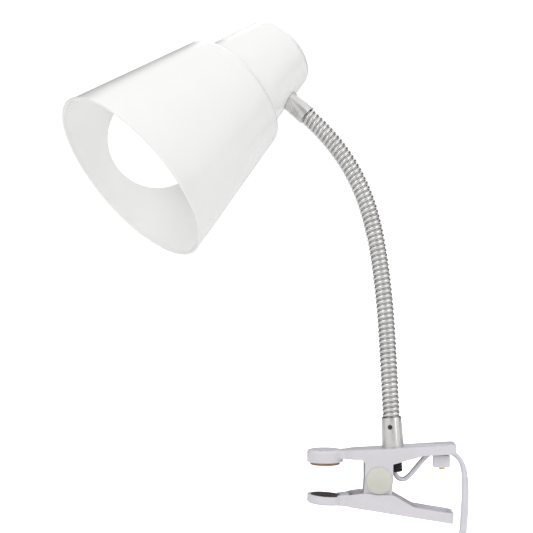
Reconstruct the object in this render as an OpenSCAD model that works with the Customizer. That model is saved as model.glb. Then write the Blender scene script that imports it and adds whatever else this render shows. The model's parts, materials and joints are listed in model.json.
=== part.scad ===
/* [Clip] */
// Opening between the two pads at rest
jaw_gap = 18; // [14:1:20]
// Outer width of both jaws
jaw_width = 20; // [19:0.5:22]
// Wall thickness of the jaws
jaw_wall = 1.6; // [1.4:0.1:1.8]
// Slope of the upper jaw's top face, rising towards its handle, in degrees
jaw_rise = 3.5; // [3:0.5:4]
// Diameter of the upper jaw's round nose
nose_d = 21.8; // [20.4:0.2:22]
// Diameter of both rubber pads
pad_d = 18; // [16:0.5:18]
// Diameter of the pivot pin
pivot_d = 4; // [3:0.5:4]
// Diameter of the pivot caps
cap_d = 15.8; // [14:0.2:16]

/* [Gooseneck] */
// Outer diameter of the flexible hose
hose_d = 10.4; // [9.6:0.2:10.6]
// Length of one hose link
link_len = 24.2; // [22:0.1:26]
// Turn of the hose's bending plane about Z, away from the jaws' own plane, in degrees
bend_plane = 18; // [10:1:25]
// Height of the lower ferrule
ferrule_h = 18; // [16:1:20]

/* [Head] */
// Outer radius of the shade's mouth
mouth_r = 57.6; // [56:0.2:60]
// Distance from the mouth to the shade's flat shoulder
shade_len = 88.5; // [87:0.5:90]
// Distance from the mouth to the end of the rear cup
head_len = 132.5; // [131:0.5:134]
// Wall thickness of the shade and the rear cup
shell_wall = 1.2; // [1:0.1:1.4]
// Turn of the head about the upper ferrule's axis, in degrees
head_turn = 36; // [25:1:45]
// Distance of the lampholder's axis from the head's axis, away from the neck
holder_offset = 8; // [7:0.5:9]

/* [Bulb] */
// Diameter of the bulb's globe
globe_d = 59; // [56:1:60]

/* [Cord] */
// Width of the flat mains cord
cord_w = 4.6; // [4.2:0.1:5]
// Height of the surface that the stored cord lies on
floor_z = -100; // [-100:1:-99]

/* [Hidden] */
$fn = 64;

// Pivot of the jaws, and the ears around it
pivot_x = 31.6;
pivot_z = -8.3;
ear_r = 8.35;
pocket_r = 8.8;
half_w = jaw_width / 2;
inner_w = half_w - jaw_wall;
running_gap = 0.3;
ear_out = inner_w - running_gap;
ear_in = ear_out - jaw_wall;
pin_r = pivot_d / 2;
pin_gap = 0.05;
cap_h = 3.2;

// Upper jaw: nose and channel
nose_x = -0.3;
nose_low = 1.9;
nose_top = 9;
nose_round = 1.6;
pad_seat = 1.2;
plate_t = 1.8;
jaw_end_x = 77.6;
top_ref_x = 40.5;
top_ref_z = 10.45;
corner_r = 3;
notch_w = 5.2;
notch_z = 9.6;

// Clamp that holds the cord under the upper jaw's plate, and its two screws
clamp_x = 69.4;
clamp_half = 4.7;
clamp_low = -1.2;
clamp_top = 6;
clamp_w = 12;
clamp_screw_y = 4.2;
clamp_screw_r = 1.1;
clamp_screw_top = 11.4;

// Lower jaw, in a frame at the pivot that leans with the nose's lower face
lower_tilt = 4;
lower_nose_x = -30.8;
lower_nose_r = 11;
lower_rim = -12.1 - (jaw_gap - 18);
lower_nose_low = -17.3 - (jaw_gap - 18);
lower_pad_z = -11.9 - (jaw_gap - 18);
lower_floor_t = 1.8;
lower_end_x = 46;

// Torsion spring between the jaws' handles: wire radius, coil radius and where each leg leaves the coil
spring_wire = 0.7;
spring_r = 4;
spring_up = 115;
spring_down = 241;
spring_turns = 4;
spring_y = 5.75;
spring_step = 15;
upper_leg = 32.1;
lower_leg = 37;

// Gooseneck: bend of each link in degrees, counted from the lower ferrule
link_bends = [-0.5, 0.5, 2.5, 3, 6.5, 11.5, 12, 10];
links = len(link_bends);
link_gap = 1.4;
hose_r = hose_d / 2;
hose_bore = 3.4;
lead_r = 2.2;
ferrule_top_r = 6;
ferrule_low_r = 6.6;
ferrule_bore = hose_r + 0.3;
set_screw_r = 1.4;
set_screw_z = 12.6;
set_screw_turn = -104;
nipple_r = 5;
nipple_bore = 3;
nipple_fit = 0.05;
nipple_up = 8;
nipple_down = 14.7;
link_in_ferrule = 7;
upper_ferrule_r = 5.9;
upper_ferrule_len = 16;

// Head, in a frame at the mouth's centre with Z along the head's axis towards the rear cup
shade_taper = 0.2232;
shoulder_r = 4.4;
cup_base_r = 32;
cup_taper = 0.2156;
cup_seam = 0.1;
cup_end_r = 5.9;
neck_z = 108.7;
cup_at_neck = cup_base_r - cup_taper * (neck_z - shade_len);
nut_face_x = 24.5;
washer_t = 1;
nut_t = 3.6;
nut_af = 12;
boss_r = 3.2;
boss_at = 25.2;
boss_angle = 43;
boss_top = 104;
screw_r = 1.5;

// Lampholder and bulb, along the head's Z axis
skirt_r = 17;
skirt_low = 80;
holder_top = 121;
holder_shoulder = 112;
holder_top_r = 14.5;
shell_r = 13.9;
cap_r = 13.2;
globe_r = globe_d / 2;
globe_z = 31;
housing_low = 50;
cap_low = 84;
cap_top = 106;
tip_top = 109;

// Mains cord, its switch and its plug
cord_r = cord_w / 2;
lead_thick = 1.4;
switch_x = 10;
switch_half = 28;
switch_w = 24;
switch_h = 16;
switch_split = 8;
switch_cord_z = floor_z + switch_split;
rocker_l = 18;
rocker_w = 11;
rocker_pivot_z = -3;
rocker_tilt = 8;
coil_x = 10;
coil_y = 64;
coil_r = 25;
coil_w = 11;
coil_h = 3 * cord_w + 0.2;
tie_t = 1;
plug_x = 77;
plug_y = 72;
plug_len = 36;
plug_h = 13.7;
plug_z = floor_z + plug_h / 2;
plug_pin_r = 2;
plug_pin_len = 19;
plug_pin_at = 9.5;
plug_shank_r = 1.6;
plug_neck = 0.5;
plug_tip = 1.5;

// Route of the cord from the clamp, over the handle's end, down and along the surface to the switch
main_route = [[74.2, 0, 7.4], [78, 0, 5.6], [80.8, 0, 2.4], [82.6, 0, -2], [83.6, 0, -8],
    [83.9, 0, -16], [83.6, 0, -26], [82.8, 0, -38], [81.6, 0, -50], [80, 0, -62], [77.2, 0, -73],
    [72.5, 0, -81], [65.5, 0, -87.8], [57, 0, -91.6], [48, 0, -92.4], [38, 0, -92]];
// Route from the switch round to the coil
tail_route = [[-18, 0, -92], [-25, 0, -92.8], [-32, 0.5, -94.8], [-40, 2.8, -97], [-47, 7.5, -97.7],
    [-51, 13.5, -97.7], [-51.5, 20, -97.7], [-49.5, 26.5, -97.7], [-44.5, 32, -97.7], [-37, 35, -97.5],
    [-28, 35.7, -97], [-18, 35.7, -96.7], [-2, 35.7, -96.7]];
// Route from the coil to the plug
end_route = [[38.6, 75, -88], [39.9, 81, -89], [43.5, 87, -90.4], [49, 91, -91.7], [57, 92.8, -92.7],
    [65, 91.4, -93.1], [72, 87.1, -93.1], [76, 80.5, -93.1], [77, 72, -93.1]];
// Route of the lead from inside the base nipple, round its loop and up to the clamp
lead_route = [[40.1, 0, 17.5], [40.6, 0, 10.4], [41.4, 0, -3], [42.3, 0, -6.6], [44.6, 0, -8.7],
    [47.6, 0, -8.7], [50.4, 0, -6.6], [53.6, 0, -2.9], [57, 0, 1.2], [60.2, 0, 4.7], [64, 0, 7.4],
    [69, 0, 8.4], [73.3, 0, 7.6]];

// Height of the upper jaw's top face at x
function top_z(x) = top_ref_z + (x - top_ref_x) * tan(jaw_rise);

// Angle from vertical, in the bending plane, at the start of link k
function lean(k) = k == 0 ? jaw_rise : lean(k - 1) + link_bends[k - 1];
// Direction in the bending plane at an angle from vertical
function along(t) = [-sin(t) * cos(bend_plane), sin(t) * sin(bend_plane), cos(t)];
// Straight length across link k, whose own length runs on an arc
function chord(k) = abs(link_bends[k - 1]) < 0.01 ? link_len
    : link_len * sin(link_bends[k - 1] / 2) / (link_bends[k - 1] / 2 * PI / 180);
// End of link k, where its joint is
function knee(k) = k == 0
    ? [top_ref_x, 0, top_ref_z] + ferrule_h * [-sin(jaw_rise), 0, cos(jaw_rise)]
    : knee(k - 1) + chord(k) * along(lean(k - 1) + link_bends[k - 1] / 2);

// Swept tubes: the direction of the route at each point, and a side direction carried along it
function unit(v) = v / norm(v);
function heading(p, i) = unit(p[min(i + 1, len(p) - 1)] - p[max(i - 1, 0)]);
function carried(u, t) = unit(u - (u * t) * t);
function side_at(p, i, u0) = i == 0 ? carried(u0, heading(p, 0))
    : carried(side_at(p, i - 1, u0), heading(p, i));

// Frame at the hose's foot, with Z up the lower ferrule
module at_base() {
    translate([top_ref_x, 0, top_ref_z])
        rotate([0, -jaw_rise, 0])
            children();
}

// Frame at the start of link k, with Z along the link
module on_link(k) {
    translate(knee(k - 1))
        rotate([0, 0, 180 - bend_plane])
            rotate([0, lean(k - 1) + link_bends[k - 1] / 2, 0])
                children();
}

// Frame at the last joint, with Z along the upper ferrule towards the head
module on_ferrule() {
    translate(knee(links))
        rotate([0, 0, 180 - bend_plane])
            rotate([0, lean(links), 0])
                children();
}

// Frame of the head: Z along its axis from the mouth, +X towards the neck
module in_head() {
    on_ferrule()
        translate([0, 0, upper_ferrule_len + cup_at_neck])
            rotate([0, 0, head_turn])
                rotate([0, -90, 0])
                    rotate([0, 0, 180])
                        translate([0, 0, -neck_z])
                            children();
}

// Frame of the lampholder and bulb, parallel to the head's axis
module in_holder() {
    in_head()
        translate([-holder_offset, 0, 0])
            children();
}

// Frame of the lower jaw at its pivot
module at_lower() {
    translate([pivot_x, 0, pivot_z])
        rotate([0, lower_tilt, 0])
            children();
}

// A wire or cord swept along its route, with half-widths a across and b along Y or Z
module swept(route, a, b, sides, first = [0, 1, 0]) {
    rings = len(route);
    us = [for (i = [0 : rings - 1]) side_at(route, i, first)];
    points = [for (i = [0 : rings - 1], j = [0 : sides - 1])
        route[i] + b * cos(j * 360 / sides) * us[i]
            + a * sin(j * 360 / sides) * cross(heading(route, i), us[i])];
    walls = [for (i = [0 : rings - 2], j = [0 : sides - 1], h = [0, 1])
        let (p = i * sides + j, q = i * sides + (j + 1) % sides)
            h == 0 ? [p, p + sides, q + sides] : [p, q + sides, q]];
    caps = [[for (j = [0 : sides - 1]) j],
        [for (j = [sides - 1 : -1 : 0]) (rings - 1) * sides + j]];
    polyhedron(points, concat(walls, caps), convexity = 10);
}

// A plate in the XZ plane between two distances along Y
module xz_plate(y_low, y_high) {
    translate([0, y_high, 0])
        rotate([90, 0, 0])
            linear_extrude(y_high - y_low)
                children();
}

// The same plate on both sides of the middle plane
module xz_pair(y_low, y_high) {
    xz_plate(y_low, y_high)
        children();
    xz_plate(-y_high, -y_low)
        children();
}

module along_y(r, y_low, y_high) {
    translate([0, y_low, 0])
        rotate([-90, 0, 0])
            cylinder(r = r, h = y_high - y_low);
}

// A round pipe, or a solid rod when its bore is 0
module pipe(r, bore, z_low, z_high) {
    difference() {
        translate([0, 0, z_low])
            cylinder(r = r, h = z_high - z_low);
        if (bore > 0)
            translate([0, 0, z_low - 1])
                cylinder(r = bore, h = z_high - z_low + 2);
    }
}

module hex_nut(af, bore, z_low, z_high) {
    difference() {
        translate([0, 0, z_low])
            rotate([0, 0, 30])
                cylinder(d = af / cos(30), h = z_high - z_low, $fn = 6);
        translate([0, 0, z_low - 1])
            cylinder(r = bore, h = z_high - z_low + 2);
    }
}

// Outline of the channel in plan: a waist behind the nose and a rounded far end
module channel_plan(x_nose, x_waist, x_end) {
    waist_w = 7;
    polygon([[x_nose, -waist_w], [x_waist - 4, -waist_w], [x_waist, -half_w], [x_waist, half_w],
        [x_waist - 4, waist_w], [x_nose, waist_w]]);
    translate([x_waist, -half_w])
        square([x_end - corner_r - x_waist, jaw_width]);
    translate([x_end - corner_r - 0.01, -half_w + corner_r])
        square([corner_r + 0.01, jaw_width - 2 * corner_r]);
    for (s = [-1, 1])
        translate([x_end - corner_r, s * (half_w - corner_r)])
            circle(r = corner_r);
}

// A nose with a rounded outer edge on its closed side, and a seat for the pad on its open side
module nose(r, z_open, z_closed, turn) {
    h = abs(z_closed - z_open);
    translate([0, 0, z_open])
        rotate([turn, 0, 0])
            difference() {
                rotate_extrude()
                    union() {
                        square([r, h - nose_round]);
                        square([r - nose_round, h]);
                        translate([r - nose_round, h - nose_round])
                            circle(r = nose_round);
                    }
                translate([0, 0, -1])
                    cylinder(r = pad_d / 2 + 0.1, h = 1 + pad_seat);
            }
}

module upper_side() {
    polygon([[6, 4.2], [21.3, 3.8], [pivot_x - ear_r, 2], [pivot_x - ear_r, pivot_z],
        [pivot_x + ear_r, pivot_z], [pivot_x + ear_r, 1.2], [58, 6.2], [jaw_end_x, 7.3],
        [jaw_end_x, top_z(jaw_end_x)], [6, top_z(6)]]);
    translate([pivot_x, pivot_z])
        circle(r = ear_r);
}

module upper_cavity() {
    polygon([[14, -30], [jaw_end_x - jaw_wall, -30], [jaw_end_x - jaw_wall, top_z(jaw_end_x) - plate_t],
        [14, top_z(14) - plate_t]]);
}

module upper_jaw() {
    color("ghostwhite")
        difference() {
            union() {
                intersection() {
                    xz_plate(-half_w, half_w)
                        upper_side();
                    translate([0, 0, -40])
                        linear_extrude(80)
                            channel_plan(6, 16, jaw_end_x);
                }
                translate([nose_x, 0, 0])
                    nose(nose_d / 2, nose_low, nose_top, 0);
            }
            xz_plate(-inner_w, inner_w)
                upper_cavity();
            translate([pivot_x, 0, pivot_z])
                along_y(pin_r + pin_gap, -half_w - 1, half_w + 1);
            at_base()
                translate([0, 0, -10])
                    cylinder(r = nipple_r + nipple_fit, h = 20);
            translate([jaw_end_x - corner_r, -notch_w / 2, 0])
                cube([corner_r + 1, notch_w, notch_z]);
            for (s = [-1, 1])
                translate([clamp_x, s * clamp_screw_y, 0])
                    cylinder(r = clamp_screw_r + pin_gap, h = clamp_screw_top + 0.2);
        }
}

// Block that holds the cord under the upper jaw's plate
module clamp_block() {
    color("lavender")
        difference() {
            translate([clamp_x - clamp_half, -clamp_w / 2, clamp_low])
                cube([2 * clamp_half, clamp_w, clamp_top - clamp_low]);
            for (s = [-1, 1])
                translate([clamp_x, s * clamp_screw_y, clamp_low - 1])
                    cylinder(r = clamp_screw_r + pin_gap, h = 20);
        }
}

module clamp_screws() {
    color("goldenrod")
        for (s = [-1, 1])
            translate([clamp_x, s * clamp_screw_y, 0]) {
                translate([0, 0, clamp_low - 1.1])
                    cylinder(r = 1.7, h = 1.1);
                translate([0, 0, clamp_low - 0.5])
                    cylinder(r = clamp_screw_r, h = clamp_screw_top - clamp_low + 0.5);
            }
}

module lower_side() {
    polygon([[-24, lower_nose_low], [-16.9, lower_nose_low], [lower_end_x, -23], [lower_end_x, -16.9],
        [22, -14.6], [9.3, -8.4], [-9.5, -8.6], [-18.9, -10.6], [-24, -11.4]]);
}

module lower_cavity() {
    polygon([[-17, lower_nose_low + lower_floor_t], [lower_end_x - jaw_wall, -23 + lower_floor_t],
        [lower_end_x - jaw_wall, 20], [-17, 20]]);
}

// Ears of the lower jaw, which stand inside the ears of the upper jaw
module lower_ears() {
    circle(r = ear_r - 0.4);
    polygon([[-ear_r, 0], [ear_r, 0], [ear_r, -8.4], [11.5, -9.8], [11.5, -15], [-11.5, -15], [-11.5, -9.8],
        [-ear_r, -8.4]]);
}

module lower_jaw() {
    color("lavender")
        at_lower()
            difference() {
                union() {
                    difference() {
                        union() {
                            intersection() {
                                xz_plate(-half_w, half_w)
                                    lower_side();
                                translate([0, 0, -40])
                                    linear_extrude(80)
                                        channel_plan(-24, -15, lower_end_x);
                            }
                            translate([lower_nose_x, 0, 0])
                                nose(lower_nose_r, lower_rim, lower_nose_low, 180);
                        }
                        xz_plate(-inner_w, inner_w)
                            lower_cavity();
                        for (s = [-1, 1])
                            along_y(pocket_r, s > 0 ? ear_out : -half_w - 1, s > 0 ? half_w + 1 : -ear_out);
                    }
                    xz_pair(ear_in, ear_out)
                        lower_ears();
                    xz_pair(ear_in, half_w)
                        polygon([[9, -9.7], [11.5, -9.7], [11.5, -15], [9, -15]]);
                    xz_pair(ear_in, half_w)
                        polygon([[-11.5, -9.7], [-9, -9.7], [-9, -15], [-11.5, -15]]);
                }
                along_y(pin_r + pin_gap, -half_w - 1, half_w + 1);
                translate([lower_nose_x, 0, lower_rim - pad_seat])
                    cylinder(r = pad_d / 2 + 0.1, h = 12);
            }
}

module upper_pad() {
    color("rosybrown")
        translate([nose_x, 0, 0])
            cylinder(d = pad_d, h = nose_low + pad_seat);
}

module lower_pad() {
    color("dimgray")
        at_lower()
            translate([lower_nose_x, 0, lower_rim - pad_seat])
                cylinder(d = pad_d, h = lower_pad_z - lower_rim + pad_seat);
}

module pivot_pin() {
    color("silver")
        translate([pivot_x, 0, pivot_z])
            along_y(pin_r, -half_w - 1.5, half_w + 1.5);
}

// A domed cap with a blind socket for the pin's end
module pivot_cap() {
    dome_r = 16;
    difference() {
        intersection() {
            cylinder(d = cap_d, h = cap_h);
            translate([0, 0, cap_h - dome_r])
                sphere(r = dome_r);
        }
        translate([0, 0, -1])
            cylinder(r = pin_r, h = 2.5);
    }
}

module pivot_caps() {
    color("beige")
        translate([pivot_x, 0, pivot_z])
            for (s = [-1, 1])
                translate([0, s * half_w, 0])
                    rotate([-90 * s, 0, 0])
                        pivot_cap();
}

// A point on the spring's coil at an angle about the pivot
function spring_point(a) = [pivot_x + spring_r * cos(a),
    spring_y * (1 - 2 * (a - spring_up) / (spring_down + 360 * spring_turns - spring_up)),
    pivot_z + spring_r * sin(a)];

module jaw_spring() {
    last = spring_down + 360 * spring_turns;
    from_up = spring_point(spring_up) + upper_leg * [sin(spring_up), 0, -cos(spring_up)];
    to_down = spring_point(last) + lower_leg * [-sin(last), 0, cos(last)];
    steps = ceil((last - spring_up) / spring_step);
    color("gray")
        swept(concat([from_up],
            [for (i = [0 : steps]) spring_point(spring_up + (last - spring_up) * i / steps)],
            [to_down]), spring_wire, spring_wire, 8);
}

module inner_lead() {
    color("lavender")
        swept(lead_route, lead_thick, cord_r - 0.1, 8);
}

module base_nipple() {
    color("dimgray")
        at_base()
            pipe(nipple_r, nipple_bore, -nipple_down, nipple_up);
}

module base_washer() {
    color("silver")
        at_base()
            pipe(nut_af / 2 - 0.2, nipple_r + nipple_fit, -plate_t - washer_t - 0.1, -plate_t - 0.1);
}

module base_nut() {
    nut_top = -plate_t - washer_t - 0.1;
    color("silver")
        at_base()
            hex_nut(nut_af, nipple_r + nipple_fit, nut_top - nut_t, nut_top);
}

module lower_ferrule() {
    color("silver")
        at_base()
            difference() {
                cylinder(r1 = ferrule_low_r, r2 = ferrule_top_r, h = ferrule_h);
                translate([0, 0, -1])
                    cylinder(r = nipple_r + nipple_fit, h = ferrule_h);
                translate([0, 0, nipple_up + 0.5])
                    cylinder(r = ferrule_bore, h = ferrule_h);
                set_screw_axis()
                    cylinder(r = set_screw_r + pin_gap, h = 10);
            }
}

// Frame of the set screw, with Z out of the ferrule's side
module set_screw_axis() {
    translate([0, 0, set_screw_z])
        rotate([0, 0, set_screw_turn])
            rotate([0, 90, 0])
                children();
}

module set_screw() {
    color("dimgray")
        at_base()
            set_screw_axis()
                difference() {
                    translate([0, 0, hose_r + 0.2])
                        cylinder(r = set_screw_r, h = 0.7);
                    translate([0, 0, hose_r + 0.4])
                        cylinder(r = 0.7, h = 2, $fn = 6);
                }
}

module neck_link(k) {
    color("silver")
        on_link(k)
            pipe(hose_r, hose_bore, k == 1 ? -link_in_ferrule : link_gap, chord(k) - link_gap);
}

module neck_lead(k) {
    color("lavender")
        on_link(k)
            pipe(lead_r, 0, k == 1 ? -link_in_ferrule : link_gap, chord(k) - link_gap);
}

module upper_ferrule() {
    color("silver")
        difference() {
            on_ferrule()
                difference() {
                    translate([0, 0, link_gap])
                        cylinder(r = upper_ferrule_r, h = upper_ferrule_len + 2);
                    translate([0, 0, 8])
                        cylinder(r = nipple_r + nipple_fit, h = upper_ferrule_len);
                    translate([0, 0, -1])
                        cylinder(r = hose_bore, h = upper_ferrule_len);
                }
            in_head()
                cup_cone(0.02);
        }
}

// Outside of the rear cup without its rounded end, grown by a small gap
module cup_cone(gap) {
    h = head_len - shade_len;
    translate([0, 0, shade_len])
        cylinder(r1 = cup_base_r + gap, r2 = cup_base_r + gap - cup_taper * h, h = h);
}

// Frame with Z along the upper ferrule, pointing from the head's axis to the neck
module from_axis() {
    in_head()
        translate([0, 0, neck_z])
            rotate([0, 90, 0])
                children();
}

module head_nipple() {
    color("silver")
        from_axis()
            pipe(nipple_r, nipple_bore, nut_face_x - 6.5, cup_at_neck + 7.5);
}

module head_washer() {
    color("silver")
        from_axis()
            pipe(nut_af / 2 + 0.4, nipple_r + nipple_fit, nut_face_x - washer_t, nut_face_x);
}

module head_nut() {
    color("silver")
        from_axis()
            hex_nut(nut_af, nipple_r + nipple_fit, nut_face_x - washer_t - nut_t, nut_face_x - washer_t);
}

// Half section of a tapered shell with a rounded corner, grown inwards by d
function rounded(r0, z0, taper, z_end, radius, d) =
    let (a = atan(taper), cr = r0 - taper * (z_end - radius - z0) - radius / cos(a), cz = z_end - radius)
    [for (t = [0 : 0.125 : 1]) let (f = a + (90 - a) * t)
        [cr + (radius - d) * cos(f), cz + (radius - d) * sin(f)]];

module shell_section(r0, z0, taper, z_end, radius, t) {
    outer = rounded(r0, z0, taper, z_end, radius, 0);
    inner = rounded(r0, z0, taper, z_end, radius, t);
    n = len(inner);
    polygon(concat([[r0 - t / cos(atan(taper)), z0], [r0, z0]], outer,
        [[0, z_end], [0, z_end - t]], [for (i = [n - 1 : -1 : 0]) inner[i]]));
}

module shade() {
    color("white")
        in_head()
            difference() {
                rotate_extrude($fn = 96)
                    shell_section(mouth_r, 0, shade_taper, shade_len, shoulder_r, shell_wall);
                translate([-holder_offset, 0, shade_len - 5])
                    cylinder(r = skirt_r + 0.3, h = 10);
                for (s = [-1, 1])
                    boss_axis(s)
                        translate([0, 0, shade_len - 5])
                            cylinder(r = screw_r + 0.1, h = 10);
            }
}

module boss_axis(s) {
    rotate([0, 0, s * boss_angle])
        translate([boss_at, 0, 0])
            children();
}

module rear_cup() {
    base = shade_len + cup_seam;
    color("white")
        in_head()
            difference() {
                union() {
                    rotate_extrude($fn = 96)
                        shell_section(cup_base_r, base, cup_taper, head_len, cup_end_r, shell_wall);
                    for (s = [-1, 1])
                        boss_axis(s)
                            translate([0, 0, base])
                                cylinder(r = boss_r, h = boss_top - base);
                    translate([0, 0, neck_z])
                        rotate([0, 90, 0])
                            translate([0, 0, nut_face_x])
                                cylinder(r = nut_af / 2 + 1.6, h = 1.6);
                }
                for (s = [-1, 1])
                    boss_axis(s)
                        translate([0, 0, base - 1])
                            cylinder(r = screw_r + pin_gap, h = 12.2);
                translate([0, 0, neck_z])
                    rotate([0, 90, 0])
                        cylinder(r = nipple_r + nipple_fit, h = 40);
            }
}

module cup_screws() {
    under = shade_len - shell_wall - 0.05;
    color("silver")
        in_head()
            for (s = [-1, 1])
                boss_axis(s) {
                    translate([0, 0, under - 1.6])
                        cylinder(r = 2.8, h = 1.6);
                    translate([0, 0, under - 1])
                        cylinder(r = screw_r, h = 12);
                }
}

module lampholder_body() {
    color("ivory")
        in_holder()
            difference() {
                union() {
                    translate([0, 0, skirt_low])
                        cylinder(r = skirt_r, h = holder_shoulder - skirt_low);
                    translate([0, 0, holder_shoulder])
                        cylinder(r1 = skirt_r, r2 = holder_top_r, h = holder_top - holder_shoulder);
                    translate([0, 0, shade_len + 0.1])
                        cylinder(r = 20, h = 2);
                }
                translate([0, 0, skirt_low - 1])
                    cylinder(r = shell_r + 0.55, h = 112.6 - skirt_low);
                for (s = [-1, 1])
                    translate([s * 8, 0, holder_top - 4])
                        cylinder(r = 2.05, h = 5);
            }
}

module lampholder_shell() {
    color("goldenrod")
        in_holder()
            pipe(shell_r + 0.5, shell_r, 85, 108);
}

module retaining_ring() {
    ring_top = shade_len - shell_wall - 0.05;
    color("ivory")
        in_holder()
            pipe(20.5, skirt_r + 0.05, ring_top - 4.5, ring_top);
}

module centre_contact() {
    color("goldenrod")
        in_holder() {
            translate([-3, -2.5, tip_top + 0.6])
                cube([6, 5, 0.8]);
            translate([-1.2, -2.5, tip_top + 1.2])
                cube([2.4, 5, 1.3]);
        }
}

module terminal_screws() {
    color("goldenrod")
        in_holder()
            for (s = [-1, 1])
                translate([s * 8, 0, holder_top - 3.9]) {
                    cylinder(r = 2, h = 4.4);
                    translate([0, 0, 4.4])
                        cylinder(r = 2.8, h = 1.2);
                }
}

// The two cores from the head nipple to the lampholder's terminals
module head_leads() {
    core_r = 0.9;
    head_end = holder_top + 2.6;
    color("lavender")
        in_head()
            for (s = [-1, 1])
                swept([[cup_at_neck + 4, s * 1.2, neck_z], [24, s * 1.2, neck_z], [18, s * 1.2, neck_z + 0.6],
                    [14.6, s * 1.8, neck_z + 3], [12.6, s * 2.6, neck_z + 7], [11, s * 3.2, neck_z + 11],
                    [8, s * 3.2, head_end - 0.2], [s > 0 ? 2 : -12, s * 3.2, head_end]],
                    core_r, core_r, 8, [0, 1, 0]);
}

module bulb_globe() {
    neck_r = 24;
    color("white")
        in_holder()
            difference() {
                union() {
                    translate([0, 0, globe_z])
                        sphere(r = globe_r, $fn = 96);
                    translate([0, 0, globe_z])
                        cylinder(r1 = globe_r - 0.5, r2 = neck_r, h = housing_low - globe_z);
                }
                translate([0, 0, globe_z])
                    sphere(r = globe_r - 1, $fn = 96);
                translate([0, 0, globe_z])
                    cylinder(r1 = globe_r - 1.5, r2 = neck_r - 1, h = housing_low - globe_z + 0.01);
                translate([0, 0, housing_low])
                    cylinder(r = 40, h = 40);
            }
}

module bulb_housing() {
    color("gainsboro")
        in_holder()
            difference() {
                union() {
                    translate([0, 0, housing_low + 0.05])
                        cylinder(r = 24, h = 2);
                    translate([0, 0, housing_low + 2])
                        cylinder(r1 = 24, r2 = 13, h = cap_low - housing_low - 2.05);
                }
                translate([0, 0, housing_low + 3])
                    cylinder(r1 = 22.4, r2 = 11.6, h = cap_low - housing_low);
            }
}

module bulb_cap() {
    color("silver")
        in_holder()
            difference() {
                union() {
                    translate([0, 0, cap_low])
                        cylinder(r = cap_r, h = cap_top - cap_low - 4);
                    translate([0, 0, cap_top - 4])
                        cylinder(r1 = cap_r, r2 = 6, h = 4);
                }
                translate([0, 0, cap_low - 1])
                    cylinder(r = cap_r - 0.6, h = cap_top - cap_low - 4);
            }
}

module bulb_tip() {
    color("dimgray")
        in_holder() {
            translate([0, 0, cap_top + 0.05])
                cylinder(r1 = 5.8, r2 = 4.6, h = 1.6);
            translate([0, 0, cap_top + 1.4])
                cylinder(r = 3.6, h = tip_top - cap_top - 1.4);
        }
}

module cord_main() {
    color("lavender")
        swept(main_route, cord_r, cord_r, 12);
}

module cord_tail() {
    color("lavender")
        swept(tail_route, cord_r, cord_r, 12);
}

module cord_end() {
    color("lavender")
        swept(end_route, cord_r, cord_r, 12, [0, 0, 1]);
}

module cord_coil() {
    color("lavender")
        translate([coil_x, coil_y, floor_z + tie_t])
            rotate_extrude()
                translate([coil_r - coil_w / 2, 0])
                    square([coil_w, coil_h]);
}

// Tie round the coil's bundle
module cord_tie() {
    tie_w = 5;
    tie_turn = 180;
    color("dimgray")
        translate([coil_x, coil_y, floor_z])
            rotate([0, 0, tie_turn])
                translate([coil_r, 0, 0])
                    difference() {
                        translate([-coil_w / 2 - tie_t - 0.6, -tie_w / 2, 0])
                            cube([coil_w + 2 * tie_t + 1.2, tie_w, coil_h + 2 * tie_t + 0.2]);
                        translate([-coil_w / 2 - 0.6, -tie_w, tie_t - 0.05])
                            cube([coil_w + 1.2, 2 * tie_w, coil_h + 0.2]);
                    }
}

// Plan outline of the in-line switch
module switch_plan(inset) {
    end_r = 5;
    for (a = [-1, 1], b = [-1, 1])
        translate([a * (switch_half - end_r), b * (switch_w / 2 - end_r)])
            circle(r = end_r - inset);
    square([2 * (switch_half - inset), switch_w - 2 * end_r], center = true);
    square([2 * (switch_half - end_r), switch_w - 2 * inset], center = true);
}

module switch_base() {
    shell = 1.6;
    color("whitesmoke")
        translate([switch_x, 0, floor_z])
            difference() {
                linear_extrude(switch_split)
                    switch_plan(0);
                translate([0, 0, shell])
                    linear_extrude(switch_split)
                        switch_plan(shell);
                translate([0, 0, switch_cord_z - floor_z])
                    cord_notches();
            }
}

// Holes for the cord at both ends of the switch
module cord_notches() {
    for (s = [-1, 1])
        translate([s * switch_half, 0, 0])
            rotate([0, 90, 0])
                cylinder(r = cord_r - 0.2, h = 8, center = true);
}

module switch_cover() {
    shell = 1.6;
    color("whitesmoke")
        translate([switch_x, 0, floor_z + switch_split + 0.05])
            difference() {
                union() {
                    linear_extrude(switch_h - switch_split - 2)
                        switch_plan(0);
                    linear_extrude(switch_h - switch_split)
                        switch_plan(1.5);
                }
                translate([0, 0, -1])
                    linear_extrude(switch_h - switch_split - shell)
                        switch_plan(shell);
                translate([-rocker_l / 2 - 0.5, -rocker_w / 2 - 0.5, 0])
                    cube([rocker_l + 1, rocker_w + 1, 20]);
                cord_notches();
            }
}

module switch_rocker() {
    color("white")
        translate([switch_x, 0, floor_z + switch_h + rocker_pivot_z])
            rotate([0, -rocker_tilt, 0])
                difference() {
                    intersection() {
                        translate([-rocker_l / 2, -rocker_w / 2, -2.5])
                            cube([rocker_l, rocker_w, 12]);
                        along_y(rocker_l / 2 - 0.2, -rocker_w / 2, rocker_w / 2);
                    }
                    translate([0, 0, 25.4])
                        along_y(21.4, -rocker_w, rocker_w);
                }
}

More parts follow.
